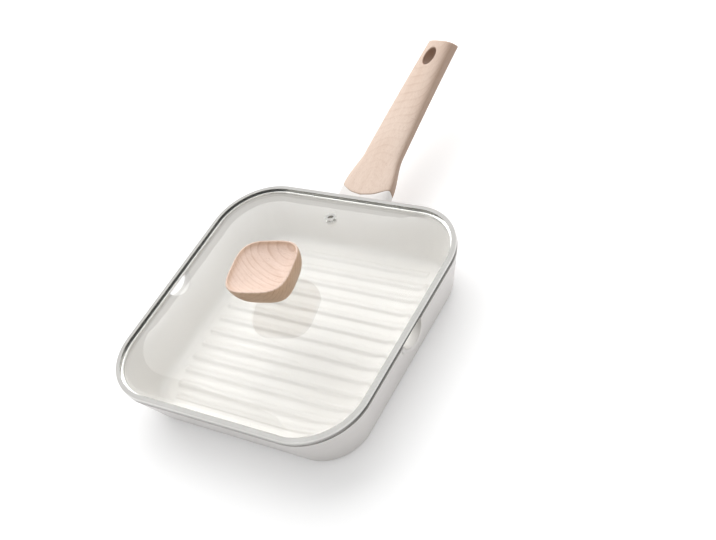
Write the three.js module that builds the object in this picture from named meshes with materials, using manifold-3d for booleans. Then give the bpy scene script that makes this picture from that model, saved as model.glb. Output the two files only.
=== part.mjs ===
// Square grill pan with a wooden handle and a domed glass lid.
// Millimetres, +Z up. The origin is the centre of the base on the surface that the pan stands on,
// +Y points along the handle, and the two pouring spouts are on the -X and +X sides.

import * as THREE from 'three';
import { mergeVertices } from 'three/addons/utils/BufferGeometryUtils.js';
import Module from 'manifold-3d';

const wasm = await Module();
wasm.setup();

// Fits
const seatGap = 0.3; // left between two pieces that touch
const cutPast = 2; // how far a cutter runs past the face that it opens
const rootDepth = 1; // how far a joined form is sunk into the body that carries it

// Pan body
const panSide = 284; // across the lip, outside
const panCorner = 61; // plan radius of the lip's corners, outside
const panHeight = 55;
const wallDraft = THREE.MathUtils.degToRad(20); // lean of the walls from upright
const wallThickness = 4;
const floorThickness = 5;
const baseRound = 9; // outside, where the wall meets the base
const floorRound = 11; // inside, where the wall meets the floor
const lipRound = 1.5; // outer edge of the lip

// Grill ribs on the floor, each along X
const ribPitch = 16.8;
const ribWidth = 5.5;
const ribHeight = 2;
const ribTopWidth = 3.2;
const ribEndMargin = 14; // between a rib's end and the foot of the wall

// Pouring spouts: level troughs through the wall that end flush with the lip's outer face
const spoutWidth = 34; // across the trough at the lip
const spoutDepth = 14.4; // of the trough below the lip
const spoutWall = 3.7;

// Steel plate in the base
const plateRadius = 95;
const plateThickness = 1.2;
const plateGrooveDepth = 0.4;
const plateGrooveWidth = 3;
const plateGrooveRadii = [40, 70];

// Handle: the lug and tang are cast with the pan, the grip slides over the tang
const gripFront = 9.3; // from the lip to the grip, on the centre line
const gripLength = 203.7;
const gripTopDrop = 0.85; // of the grip's top edge at its front, below the lip
const gripRise = THREE.MathUtils.degToRad(11.5); // of the grip's line at its front
const gripEndRise = THREE.MathUtils.degToRad(7.6); // of the grip's line at its end
const gripSweep = 12.5; // how far the grip's front edge runs back at its sides
const footWidth = 58;
const footHeight = 17;
const neckAt = 56; // from the grip's front to where the foot's flare ends
const neckWidth = 44;
const neckHeight = 16;
const endWidth = 29;
const endHeight = 20;
const endLean = 0.75; // of the end's cut: how far its underside runs on, for each mm of height
const endRound = 2;
const endDrawIn = 1.4; // how much the rounded end narrows each way
const topPower = 2.8; // squareness of the grip's section above its middle: 2 is an ellipse
const footTopPower = 6; // and above it at the foot, where the top has a crisp edge
const underPower = 4.2; // and below it
const endUnderPower = 8; // and below it at the grip's end
const lugTopDrop = 3; // of the lug's root below the lip
const lugRootWidth = 64;
const lugRootHeight = 24;
const tangLength = 75; // inside the grip
const tangWidth = 24;
const tangHeight = 5;
const tangLift = 1.5; // of the tang above the grip's middle, to leave room for the screw's head
const hangHoleLength = 24;
const hangHoleWidth = 12;
const hangHoleFromEnd = 21; // from the grip's end to the hole's middle

// Screw that holds the grip to the tang, from below
const gripScrewAt = 55; // from the grip's front
const gripScrewRadius = 2.5;
const gripScrewHeadRadius = 4.5;
const gripScrewHeadHeight = 2;
const gripScrewLand = 2; // of the grip's wall between the washer and the tang
const gripScrewShare = 0.75; // of the tang's height that the screw fills
const gripWasherThickness = 0.8;
const gripWasherRadius = 4.8;

// Lid
const rimSheet = 0.8; // thickness of the steel band
const rimLip = 4.5; // width of the band's top face
const rimRound = 1.2;
const rimFootRound = 0.8; // outer edge of the band's underside
const skirtDrop = 3; // of the band's skirt into the pan
const skirtClearance = 0.8;
const glassThickness = 4;
const glassRise = 17; // of the dome
const glassBorder = 9; // flat edge of the glass
const domePower = 3.5; // 2 is a plain bowl, more is flatter on top with a tighter edge
const domeTopRound = 0.95; // corner radius near the dome's middle, as a share of half its width

// Steam vent
const ventAt = 101; // from the centre, towards the handle
const ventBoreRadius = 2.6;
const ventBarrelRadius = 3.4;
const ventFlangeRadius = 5.6;
const ventFlangeHeight = 1.2;
const ventWasherRadius = 5.2;
const ventWasherThickness = 0.8;

// Knob and what fastens it
const knobAcross = 65.5; // across the flats of the dish
const knobHeight = 29;
const knobPower = 3.4; // squareness of the dish's outline: 2 is a circle
const knobTurn = THREE.MathUtils.degToRad(12);
const knobLeanX = -2; // of the dish's middle from the screw's axis
const knobLeanY = -1.5;
const knobFootWidth = 29; // across the foot of the knob's bowl
const knobDishDepth = 10;
const knobRimWidth = 2;
const knobSlotLength = 10; // small slot in the front of the knob's bowl
const knobSlotWidth = 3;
const knobSlotDepth = 4;
const knobSlotAt = 16.5; // from the knob's foot to the slot's middle
const knobSlotAngle = THREE.MathUtils.degToRad(-99); // in plan, from +X
const knobSlotTilt = THREE.MathUtils.degToRad(118); // of the slot's line from level
const insertRadius = 4;
const insertLength = 10;
const knobScrewRadius = 2;
const knobScrewHeadRadius = 4.2;
const knobScrewHeadHeight = 2.6;
const knobScrewBevel = 0.8;
const knobScrewGrip = 8; // length of the screw in the insert
const collarRadius = 12.5;
const collarThickness = 2;
const gasketRadius = 11.5;
const gasketThickness = 1.5;
const knobWasherRadius = 8;
const knobWasherThickness = 1.2;

// Facets
const cornerSteps = 10;
const sectionSteps = 32;
const knobSteps = 48;
const turnedSteps = 24;
const plateSteps = 48;
const spoutSteps = 28;
const stadiumSteps = 6;
const holeSteps = 36;
const arcSteps = 5;
const gripSteps = 16;
const gripEndSteps = 4;
const knobBodySteps = 8;
const dishSteps = 6;
const domeShares = [0, 0.03, 0.07, 0.12, 0.18, 0.26, 0.36, 0.5, 0.68, 0.88]; // of the way to the middle

// Heights and half sizes that several pieces share
const panHalf = panSide / 2;
const wallSlope = Math.tan(wallDraft);
const wallAcross = wallThickness / Math.cos(wallDraft);
const baseHalf = panHalf - panHeight * wallSlope;
const floorHalf = panHalf - wallAcross - (panHeight - floorThickness) * wallSlope;
const lidSeat = panHeight + seatGap;
const rimHeight = glassThickness + 2 * (rimSheet + seatGap);
const skirtInset = wallAcross + skirtDrop * wallSlope + skirtClearance;
const glassInset = rimSheet + seatGap;
const glassHalf = panHalf - glassInset;
const glassUnder = lidSeat + rimSheet + seatGap;
const domeHalf = glassHalf - glassBorder;
const glassTopCentre = glassUnder + glassThickness + glassRise;
const glassUnderCentre = glassUnder + glassRise;
const gripStart = panHalf + gripFront;
const gripTop = panHeight - gripTopDrop;
const upperGasketSeat = glassTopCentre + seatGap;
const collarSeat = upperGasketSeat + gasketThickness + seatGap;
const knobSeat = collarSeat + collarThickness + seatGap;
const lowerGasketTop = glassUnderCentre - seatGap;
const knobWasherTop = lowerGasketTop - gasketThickness - seatGap;
const knobScrewHeadTop = knobWasherTop - knobWasherThickness - seatGap;
const knobBoreRadius = knobScrewRadius + seatGap;

// Closed surface through a stack of loops with equal numbers of points
function loftGeometry(loops, closed = false) {
  const count = loops[0].length;
  const positions = loops.flat().flatMap((point) => [point.x, point.y, point.z]);
  const indices = [];
  const bands = closed ? loops.length : loops.length - 1;
  for (let band = 0; band < bands; band += 1) {
    const low = band * count;
    const high = ((band + 1) % loops.length) * count;
    for (let step = 0; step < count; step += 1) {
      const next = (step + 1) % count;
      indices.push(low + step, low + next, high + next);
      indices.push(low + step, high + next, high + step);
    }
  }
  if (!closed) {
    capLoop(loops[0], 0, true);
    capLoop(loops.at(-1), (loops.length - 1) * count, false);
  }

  function capLoop(loop, start, flipped) {
    const middle = loop.reduce((sum, point) => sum.add(point), new THREE.Vector3());
    middle.divideScalar(count);
    const centre = positions.length / 3;
    positions.push(middle.x, middle.y, middle.z);
    for (let step = 0; step < count; step += 1) {
      const next = (step + 1) % count;
      const pair = flipped ? [next, step] : [step, next];
      indices.push(centre, start + pair[0], start + pair[1]);
    }
  }

  const geometry = new THREE.BufferGeometry();
  geometry.setAttribute('position', new THREE.Float32BufferAttribute(positions, 3));
  geometry.setIndex(indices);
  return geometry;
}

function solid(geometry) {
  const plain = geometry.clone();
  plain.deleteAttribute('normal');
  plain.deleteAttribute('uv');
  const merged = mergeVertices(plain);
  return new wasm.Manifold(new wasm.Mesh({
    numProp: 3,
    vertProperties: new Float32Array(merged.attributes.position.array),
    triVerts: new Uint32Array(merged.index.array),
  }));
}

function geometryOf(body) {
  const mesh = body.getMesh();
  const geometry = new THREE.BufferGeometry();
  geometry.setAttribute('position', new THREE.BufferAttribute(mesh.vertProperties, 3));
  geometry.setIndex(new THREE.BufferAttribute(mesh.triVerts, 1));
  return geometry;
}

// Square with rounded corners, counter-clockwise from +X, in a level plane
function roundedSquare(half, radius, z) {
  const points = [];
  for (let corner = 0; corner < 4; corner += 1) {
    const turn = corner * Math.PI / 2;
    const middle = new THREE.Vector2(half - radius, half - radius).rotateAround(new THREE.Vector2(), turn);
    for (let step = 0; step <= cornerSteps; step += 1) {
      const angle = turn + (step / cornerSteps) * Math.PI / 2;
      const x = middle.x + radius * Math.cos(angle);
      const y = middle.y + radius * Math.sin(angle);
      points.push(new THREE.Vector3(x, y, z));
    }
  }
  return points;
}

// The same square, drawn in from the lip by an inset, with its corners on the lip's corner centres
function insetSquare(inset, z) {
  return roundedSquare(panHalf - inset, panCorner - inset, z);
}

function circle(radius, z, steps) {
  return Array.from({ length: steps }, (_, step) => {
    const angle = (step / steps) * Math.PI * 2;
    return new THREE.Vector3(radius * Math.cos(angle), radius * Math.sin(angle), z);
  });
}

// Long outline with half-round ends, along X
function stadium(length, width, z) {
  const points = [];
  for (const [side, start] of [[1, -Math.PI / 2], [-1, Math.PI / 2]]) {
    for (let step = 0; step <= stadiumSteps; step += 1) {
      const angle = start + (step / stadiumSteps) * Math.PI;
      const x = side * (length - width) / 2 + (width / 2) * Math.cos(angle);
      points.push(new THREE.Vector3(x, (width / 2) * Math.sin(angle), z));
    }
  }
  return points;
}

// Turned piece about Z from a closed outline of [radius, height] pairs, counter-clockwise
function turned(outline, steps = turnedSteps) {
  const points = [...outline, outline[0]].map(([radius, height]) => new THREE.Vector2(radius, height));
  return new THREE.LatheGeometry(points, steps).rotateX(Math.PI / 2);
}

function ring(inner, outer, low, high) {
  return [[inner, low], [outer, low], [outer, high], [inner, high]];
}

function column(radius, low, high, steps = turnedSteps) {
  return loftGeometry([circle(radius, low, steps), circle(radius, high, steps)]);
}

// Wall profile as [half size, height] pairs: a level foot, a rounded edge and a leaning wall
function wallProfile(footHalf, footZ, round, topHalf, topZ) {
  const centreX = footHalf + round * ((1 - Math.sin(wallDraft)) * wallSlope - Math.cos(wallDraft));
  const profile = [];
  for (let step = 0; step <= arcSteps; step += 1) {
    const angle = THREE.MathUtils.lerp(-Math.PI / 2, -wallDraft, step / arcSteps);
    profile.push([centreX + round * Math.cos(angle), footZ + round * (1 + Math.sin(angle))]);
  }
  profile.push([topHalf, topZ]);
  return profile;
}

function wallLoft(profile) {
  return solid(loftGeometry(profile.map(([half, z]) => insetSquare(panHalf - half, z))));
}

// Oval bar along X through the wall on the +X side, level with the lip and drawn out by an extra wall
function spoutForm(extra, endX) {
  const startX = panHalf - wallAcross - (spoutDepth + extra) * wallSlope - cutPast;
  const bar = loftGeometry([startX, endX].map((level) => circle(1, level, spoutSteps)));
  bar.scale(spoutDepth + extra, spoutWidth / 2 + extra, 1);
  return solid(bar.rotateY(Math.PI / 2).translate(0, 0, panHeight));
}

// The trough's wall, which follows the lip's height and its outer edge
function spoutTrough() {
  const edge = panHalf + panHeight - lipRound;
  const half = spoutForm(spoutWall, panHalf).trimByPlane([0, 0, -1], -panHeight);
  return half.trimByPlane([-Math.SQRT1_2, 0, -Math.SQRT1_2], -edge * Math.SQRT1_2);
}

function ribForm(y, length) {
  const crown = floorThickness + ribHeight;
  const shoulder = crown - (ribWidth - ribTopWidth) / 4;
  const waist = (ribWidth + ribTopWidth) / 2;
  const loops = [
    stadium(length, ribWidth, floorThickness - rootDepth),
    stadium(length, ribWidth, floorThickness),
    stadium(length - ribWidth + waist, waist, shoulder),
    stadium(length - ribWidth + ribTopWidth, ribTopWidth, crown),
  ];
  return solid(loftGeometry(loops).translate(0, y, 0));
}

// A size along the grip: the foot's flare eases into the neck, then tapers to the end
function alongGrip(at, foot, neck, end) {
  const flare = THREE.MathUtils.smoothstep(at, 0, neckAt);
  const taper = Math.max(0, (at - neckAt) / (gripLength - neckAt));
  return foot + (neck - foot) * flare + (end - neck) * taper;
}

const gripWidthAt = (at) => alongGrip(at, footWidth, neckWidth, endWidth);
const gripHeightAt = (at) => alongGrip(at, footHeight, neckHeight, endHeight);

// Slope of the grip's line, which eases from its front to its end
const gripSlopeAt = (at) => THREE.MathUtils.lerp(Math.tan(gripRise), Math.tan(gripEndRise), at / gripLength);
const gripTopAt = (at) => gripTop + at * (gripSlopeAt(0) + gripSlopeAt(at)) / 2;
const gripMiddleAt = (at) => gripTopAt(at) - gripHeightAt(at) / 2;

// Upright section across the handle; sweep draws its sides back along Y
function handleSection(y, middleZ, width, height, sweep = 0, top = topPower, under = underPower) {
  return Array.from({ length: sectionSteps }, (_, step) => {
    const angle = (step / sectionSteps) * Math.PI * 2;
    const power = 2 / (Math.sin(angle) < 0 ? under : top);
    const across = Math.sign(Math.cos(angle)) * Math.abs(Math.cos(angle)) ** power;
    const up = Math.sign(Math.sin(angle)) * Math.abs(Math.sin(angle)) ** power;
    const x = -(width / 2) * across;
    return new THREE.Vector3(x, y + sweep * across ** 2, middleZ + (height / 2) * up);
  });
}

function gripSection(at, drawIn) {
  const width = gripWidthAt(at) - drawIn;
  const height = gripHeightAt(at) - drawIn;
  const sweep = gripSweep * Math.max(0, 1 - at / neckAt);
  const top = alongGrip(at, footTopPower, topPower, topPower);
  const under = alongGrip(at, underPower, underPower, endUnderPower);
  const lean = alongGrip(at, 0, 0, endLean);
  const section = handleSection(gripStart + at, gripMiddleAt(at), width, height, sweep, top, under);
  return section.map((point) => point.setY(point.y + lean * (gripTopAt(at) - point.z)));
}

function gripLoops() {
  const bodyEnd = gripLength - endRound;
  const loops = [];
  for (let step = 0; step <= gripSteps; step += 1) {
    const at = bodyEnd * (step / gripSteps);
    loops.push(gripSection(at, 0));
  }
  for (let step = 1; step <= gripEndSteps; step += 1) {
    const angle = (step / gripEndSteps) * Math.PI / 2;
    const at = bodyEnd + endRound * Math.sin(angle);
    const drawIn = 2 * endDrawIn * (1 - Math.cos(angle));
    loops.push(gripSection(at, drawIn));
  }
  return loops;
}

// Levels of the tang and of the grip screw, which goes in from below
const gripScrewY = gripStart + gripScrewAt;
const tangMiddle = gripMiddleAt(gripScrewAt) + tangLift;
const tangDip = (gripWasherRadius + seatGap) * gripSlopeAt(gripScrewAt); // of the tang across the washer
const gripScrewTop = tangMiddle + tangHeight * (gripScrewShare - 0.5);
const gripScrewSeat = tangMiddle - tangHeight / 2 - tangDip - seatGap - gripScrewLand;
const gripWasherLow = gripScrewSeat - seatGap - gripWasherThickness;
const gripScrewHeadLow = gripWasherLow - seatGap - gripScrewHeadHeight;

// The tang is straight, with the grip's slope at the screw
function tangForm(clearance, startY, endAt) {
  const section = (y) => {
    const middle = tangMiddle + (y - gripScrewY) * gripSlopeAt(gripScrewAt);
    return handleSection(y, middle, tangWidth + 2 * clearance, tangHeight + 2 * clearance);
  };
  return solid(loftGeometry([section(startY), section(gripStart + endAt)]));
}

function lugForm() {
  const rootY = panHalf - wallAcross - panHeight * wallSlope / 2;
  const rootMiddle = panHeight - lugTopDrop - lugRootHeight / 2;
  const lipMiddle = (rootMiddle + gripMiddleAt(0)) / 2;
  const front = gripStart - seatGap;
  return solid(loftGeometry([
    handleSection(rootY, rootMiddle, lugRootWidth, lugRootHeight),
    handleSection(panHalf, lipMiddle, footWidth, footHeight, gripSweep / 2, footTopPower),
    handleSection(front, gripMiddleAt(0), footWidth, footHeight, gripSweep, footTopPower),
  ]));
}

function atGripScrew(geometry) {
  return geometry.translate(0, gripScrewY, 0);
}

function makePanBody() {
  const outer = wallProfile(baseHalf, 0, baseRound, panHalf, panHeight - lipRound);
  outer.push([panHalf - lipRound, panHeight]);
  const inside = wallProfile(floorHalf, floorThickness, floorRound, panHalf - wallAcross, panHeight);
  inside.push([panHalf - wallAcross, panHeight + cutPast]);
  const trough = spoutTrough();
  const channel = spoutForm(0, panHalf + cutPast);
  let body = wallLoft(outer).add(lugForm()).add(trough).add(trough.rotate([0, 0, 180]));
  body = body.subtract(wallLoft(inside)).subtract(channel).subtract(channel.rotate([0, 0, 180]));
  body = body.add(tangForm(0, gripStart - seatGap - rootDepth, tangLength));
  const screwHole = column(gripScrewRadius + seatGap, gripScrewSeat, gripScrewTop + seatGap);
  body = body.subtract(solid(atGripScrew(screwHole)));
  const ribReach = 2 * (floorHalf - ribEndMargin);
  const ribsEachWay = Math.floor((ribReach - ribWidth) / 2 / ribPitch);
  for (let rib = -ribsEachWay; rib <= ribsEachWay; rib += 1) {
    const cornerLoss = Math.max(0, Math.abs(rib) * ribPitch - (baseHalf - panCorner));
    const length = ribReach - cornerLoss * cornerLoss / panCorner;
    body = body.add(ribForm(rib * ribPitch, length));
  }
  const recess = column(plateRadius + seatGap, -cutPast, plateThickness + seatGap, plateSteps);
  return geometryOf(body.subtract(solid(recess)));
}

function makePlate() {
  const outline = [[0, 0]];
  for (const radius of plateGrooveRadii) {
    outline.push([radius - plateGrooveWidth / 2, 0], [radius, plateGrooveDepth]);
    outline.push([radius + plateGrooveWidth / 2, 0]);
  }
  outline.push([plateRadius, 0], [plateRadius, plateThickness], [0, plateThickness]);
  const points = outline.map(([radius, height]) => new THREE.Vector2(radius, height));
  return new THREE.LatheGeometry(points, plateSteps).rotateX(Math.PI / 2);
}

function makeGrip() {
  let grip = solid(loftGeometry(gripLoops()));
  grip = grip.subtract(tangForm(seatGap, gripStart - cutPast, tangLength + seatGap));
  const holeAt = gripLength - hangHoleFromEnd;
  const holeTall = 2 * gripHeightAt(holeAt);
  const levels = [-holeTall, holeTall].map((z) => circle(hangHoleLength / 2, z, holeSteps));
  const hole = loftGeometry(levels).scale(hangHoleWidth / hangHoleLength, 1, 1);
  hole.rotateX(Math.atan(gripSlopeAt(holeAt)));
  grip = grip.subtract(solid(hole.translate(0, gripStart + holeAt, gripMiddleAt(holeAt))));
  const headBore = column(gripWasherRadius + seatGap, tangMiddle - footHeight, gripScrewSeat);
  const shankBore = column(gripScrewRadius + seatGap, gripScrewSeat - rootDepth, tangMiddle);
  grip = grip.subtract(solid(atGripScrew(headBore)));
  return geometryOf(grip.subtract(solid(atGripScrew(shankBore))));
}

function makeGripScrew() {
  const socketRadius = gripScrewHeadRadius / 2;
  const outline = [
    [0, gripScrewHeadLow + gripScrewHeadHeight / 2],
    [socketRadius, gripScrewHeadLow + gripScrewHeadHeight / 2],
    [socketRadius, gripScrewHeadLow],
    [gripScrewHeadRadius, gripScrewHeadLow],
    [gripScrewHeadRadius, gripScrewHeadLow + gripScrewHeadHeight],
    [gripScrewRadius, gripScrewHeadLow + gripScrewHeadHeight],
    [gripScrewRadius, gripScrewTop],
    [0, gripScrewTop],
  ];
  return atGripScrew(turned(outline));
}

function makeGripWasher() {
  const inner = gripScrewRadius + seatGap;
  const outline = ring(inner, gripWasherRadius, gripWasherLow, gripWasherLow + gripWasherThickness);
  return atGripScrew(turned(outline));
}

function makeRim() {
  const inner = skirtInset + rimSheet;
  const profile = [
    [rimFootRound, 0],
    [0, rimFootRound],
    [0, rimHeight - rimRound],
    [rimRound * (1 - Math.SQRT1_2), rimHeight - rimRound * (1 - Math.SQRT1_2)],
    [rimRound, rimHeight],
    [rimLip, rimHeight],
    [rimLip, rimHeight - rimSheet],
    [rimSheet, rimHeight - rimSheet],
    [rimSheet, rimSheet],
    [inner, rimSheet],
    [inner, -skirtDrop],
    [skirtInset, -skirtDrop],
    [skirtInset, 0],
  ];
  return loftGeometry(profile.map(([inset, z]) => insetSquare(inset, lidSeat + z)), true);
}

const domeLift = (share) => glassRise * (1 - (1 - share) ** domePower);

// Loop of the glass at a share of the way from the foot of the dome to its middle
function domeLoop(share, baseZ) {
  const half = domeHalf * (1 - share);
  const footCorner = (panCorner - glassInset - glassBorder) / domeHalf;
  const corner = half * THREE.MathUtils.lerp(footCorner, domeTopRound, share);
  return roundedSquare(half, corner, baseZ + domeLift(share));
}

function ventPlace(geometry) {
  const share = 1 - ventAt / domeHalf;
  const slope = glassRise * domePower * (1 - share) ** (domePower - 1) / domeHalf;
  const height = glassUnder + glassThickness + domeLift(share);
  return geometry.rotateX(-Math.atan(slope)).translate(0, ventAt, height);
}

function makeGlass() {
  const under = domeShares.map((share) => domeLoop(share, glassUnder)).reverse();
  const over = domeShares.map((share) => domeLoop(share, glassUnder + glassThickness));
  const edge = [
    insetSquare(glassInset, glassUnder),
    insetSquare(glassInset, glassUnder + glassThickness),
  ];
  const sheet = solid(loftGeometry([...under, ...edge, ...over]));
  const knobBore = column(knobBoreRadius, glassUnderCentre - cutPast, glassTopCentre + cutPast);
  const ventBore = column(ventBarrelRadius + seatGap, -glassThickness - cutPast, cutPast);
  return geometryOf(sheet.subtract(solid(knobBore)).subtract(solid(ventPlace(ventBore))));
}

// The vent's levels run from the outer face of the glass
const ventUnder = -glassThickness - seatGap;

function makeVentEyelet() {
  const low = ventUnder - ventWasherThickness - seatGap;
  const outline = [
    [ventBoreRadius, low],
    [ventBarrelRadius, low],
    [ventBarrelRadius, seatGap],
    [ventFlangeRadius, seatGap],
    [ventFlangeRadius - ventFlangeHeight / 2, seatGap + ventFlangeHeight],
    [ventBoreRadius + ventFlangeHeight / 2, seatGap + ventFlangeHeight],
    [ventBoreRadius, seatGap],
  ];
  return ventPlace(turned(outline));
}

function makeVentWasher() {
  const inner = ventBarrelRadius + seatGap;
  return ventPlace(turned(ring(inner, ventWasherRadius, ventUnder - ventWasherThickness, ventUnder)));
}

// Outline across the knob at a height: a square with soft corners and bowed sides
function knobPoint(width, height, angle) {
  const lean = height / knobHeight;
  const across = Math.abs(Math.cos(angle)) ** knobPower + Math.abs(Math.sin(angle)) ** knobPower;
  const radius = (width / 2) / across ** (1 / knobPower);
  const x = knobLeanX * lean + radius * Math.cos(angle + knobTurn);
  const y = knobLeanY * lean + radius * Math.sin(angle + knobTurn);
  return new THREE.Vector3(x, y, knobSeat + height);
}

function knobLoop(width, height) {
  return Array.from({ length: knobSteps }, (_, step) => {
    return knobPoint(width, height, (step / knobSteps) * Math.PI * 2);
  });
}

// Width of the knob's bowl where its side has turned by an angle from its foot
function bowlWidth(angle) {
  return THREE.MathUtils.lerp(knobFootWidth, knobAcross, Math.sin(angle));
}

// Slot in the bowl's side, which points away from the middle of the dish
function knobSlotForm() {
  const levels = [-knobSlotDepth, knobSlotDepth];
  const slot = loftGeometry(levels.map((z) => stadium(knobSlotLength, knobSlotWidth, z)));
  const width = bowlWidth(Math.acos(1 - knobSlotAt / knobHeight));
  const middle = knobPoint(width, knobSlotAt, knobSlotAngle - knobTurn);
  const dish = new THREE.Vector3(0, 0, knobSeat + knobHeight);
  const holder = new THREE.Object3D();
  holder.up.set(0, 0, 1);
  holder.position.copy(middle);
  holder.lookAt(middle.clone().multiplyScalar(2).sub(dish));
  holder.updateMatrix();
  return solid(slot.rotateZ(knobSlotTilt).applyMatrix4(holder.matrix));
}

function makeKnob() {
  const loops = [];
  for (let step = 0; step <= knobBodySteps; step += 1) {
    const angle = (step / knobBodySteps) * Math.PI / 2;
    loops.push(knobLoop(bowlWidth(angle), knobHeight * (1 - Math.cos(angle))));
  }
  const dishAcross = knobAcross - 2 * knobRimWidth;
  for (let step = 0; step < dishSteps; step += 1) {
    const angle = (step / dishSteps) * Math.PI / 2;
    loops.push(knobLoop(dishAcross * Math.cos(angle), knobHeight - knobDishDepth * Math.sin(angle)));
  }
  const socket = column(insertRadius + seatGap, knobSeat - cutPast, knobSeat + insertLength + seatGap);
  return geometryOf(solid(loftGeometry(loops)).subtract(solid(socket)).subtract(knobSlotForm()));
}

function makeKnobInsert() {
  return turned(ring(knobBoreRadius, insertRadius, knobSeat, knobSeat + insertLength));
}

function makeCollar() {
  const bevel = collarThickness / 2;
  return turned([
    [knobBoreRadius, collarSeat],
    [collarRadius, collarSeat],
    [collarRadius, collarSeat + bevel],
    [collarRadius - bevel, collarSeat + collarThickness],
    [knobBoreRadius, collarSeat + collarThickness],
  ]);
}

function makeUpperGasket() {
  return turned(ring(knobBoreRadius, gasketRadius, upperGasketSeat, upperGasketSeat + gasketThickness));
}

function makeLowerGasket() {
  return turned(ring(knobBoreRadius, gasketRadius, lowerGasketTop - gasketThickness, lowerGasketTop));
}

function makeKnobWasher() {
  return turned(ring(knobBoreRadius, knobWasherRadius, knobWasherTop - knobWasherThickness, knobWasherTop));
}

function makeKnobScrew() {
  const headLow = knobScrewHeadTop - knobScrewHeadHeight;
  const socketTop = headLow + knobScrewHeadHeight / 2;
  return turned([
    [0, socketTop],
    [knobScrewHeadRadius / 2, socketTop],
    [knobScrewHeadRadius / 2, headLow],
    [knobScrewHeadRadius - knobScrewBevel, headLow],
    [knobScrewHeadRadius, headLow + knobScrewBevel],
    [knobScrewHeadRadius, knobScrewHeadTop],
    [knobScrewRadius, knobScrewHeadTop],
    [knobScrewRadius, knobSeat + knobScrewGrip],
    [0, knobSeat + knobScrewGrip],
  ]);
}

const castCeramic = { color: 0xe9e7e0, roughness: 0.35, metalness: 0.1 };
const beech = { color: 0xdcbfa8, roughness: 0.5, metalness: 0 };
const steel = { color: 0xb9b9b6, roughness: 0.25, metalness: 1 };
const brass = { color: 0xc8a55a, roughness: 0.35, metalness: 1 };
const silicone = { color: 0xe6e3dc, roughness: 0.6, metalness: 0 };
const clearGlass = { color: 0xf2f5f3, roughness: 0.03, metalness: 0, transparent: true, opacity: 0.35 };

function piece(name, geometry, look) {
  const mesh = new THREE.Mesh(geometry, new THREE.MeshStandardMaterial(look));
  mesh.name = name;
  return mesh;
}

const pan = new THREE.Group();
pan.add(
  piece('pan_body', makePanBody(), castCeramic),
  piece('induction_plate', makePlate(), steel),
  piece('handle_grip', makeGrip(), beech),
  piece('handle_screw', makeGripScrew(), steel),
  piece('handle_washer', makeGripWasher(), steel),
);

const lid = new THREE.Group();
lid.add(
  piece('lid_glass', makeGlass(), clearGlass),
  piece('lid_rim', makeRim(), steel),
  piece('vent_eyelet', makeVentEyelet(), steel),
  piece('vent_washer', makeVentWasher(), steel),
  piece('knob', makeKnob(), beech),
  piece('knob_insert', makeKnobInsert(), brass),
  piece('knob_collar', makeCollar(), steel),
  piece('knob_upper_gasket', makeUpperGasket(), silicone),
  piece('knob_lower_gasket', makeLowerGasket(), silicone),
  piece('knob_washer', makeKnobWasher(), steel),
  piece('knob_screw', makeKnobScrew(), steel),
);

const grillPan = new THREE.Group();
grillPan.add(pan, lid);

export default grillPan;
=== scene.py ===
import math

import bpy
import numpy as np
from mathutils import Matrix, Vector


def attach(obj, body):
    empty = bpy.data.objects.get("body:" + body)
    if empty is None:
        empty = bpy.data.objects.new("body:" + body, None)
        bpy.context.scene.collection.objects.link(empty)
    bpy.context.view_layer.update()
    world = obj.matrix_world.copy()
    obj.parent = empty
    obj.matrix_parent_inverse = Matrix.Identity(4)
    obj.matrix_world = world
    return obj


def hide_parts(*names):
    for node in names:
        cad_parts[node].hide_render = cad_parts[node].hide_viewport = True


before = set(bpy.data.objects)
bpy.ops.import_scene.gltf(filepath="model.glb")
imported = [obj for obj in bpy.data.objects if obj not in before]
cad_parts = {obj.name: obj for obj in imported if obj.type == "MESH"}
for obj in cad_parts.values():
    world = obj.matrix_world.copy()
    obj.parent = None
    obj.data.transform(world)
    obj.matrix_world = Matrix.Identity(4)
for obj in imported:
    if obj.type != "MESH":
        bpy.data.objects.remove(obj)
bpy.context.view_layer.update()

MM = 0.001
scene = bpy.context.scene

# Sizes in millimetres, as in the part's source. A comment says where one differs, and the small
# roundings are the scene's own.

LIP_HALF = 142.0
LIP_CORNER = 61.0
CORNER_AT = LIP_HALF - LIP_CORNER
PAN_HEIGHT = 55.0
DRAFT = math.radians(20)
SLOPE = math.tan(DRAFT)
WALL = 4.0
WALL_ACROSS = WALL / math.cos(DRAFT)
FLOOR = 5.0
BASE_ROUND = 9.0
FLOOR_ROUND = 11.0
GAP = 0.3
# How far a cutter runs past the glass
CUT_PAST = 4.0

# The lip is rounder here than in the source, and its top has a small step
LIP_ROUND = 2.4
LIP_LEDGE = 2.7
LIP_STEP = 1.2
LIP_INNER_ROUND = (0.9, 1.0)
STEP_TOP_ROUND = 0.4
STEP_FOOT_ROUND = 0.3
LEDGE_END = 1.2
LEDGE_BEND = 0.3

RIB_PITCH = 16.8
RIB_COUNT = 6
RIB_HALF = 2.75
RIB_END_MARGIN = 14.0
# Height of a rib by the distance from its middle line; softer and lower than in the source
RIB_ACROSS = [0, 0.8, 1.3, 1.8, 2.3, 2.8, 3.3, 3.8, 4.3, 5.0]
RIB_HEIGHTS = [1.6, 1.59, 1.54, 1.38, 1.14, 0.86, 0.56, 0.3, 0.1, 0]

SPOUT_HALF = 17.0
SPOUT_DEPTH = 14.4
SPOUT_WALL = 3.7
SPOUT_FILLET = 2.5
SPOUT_END_ROUND = 0.9
SPOUT_ROOT = 2.5

PLATE_RADIUS = 95.0
PLATE_THICKNESS = 1.2
PLATE_EDGE = 0.3
PLATE_RINGS = (40.0, 70.0)
PLATE_RING_HALF = 1.5
PLATE_RING_DEPTH = 0.4
RECESS_EDGE = 0.4

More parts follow.
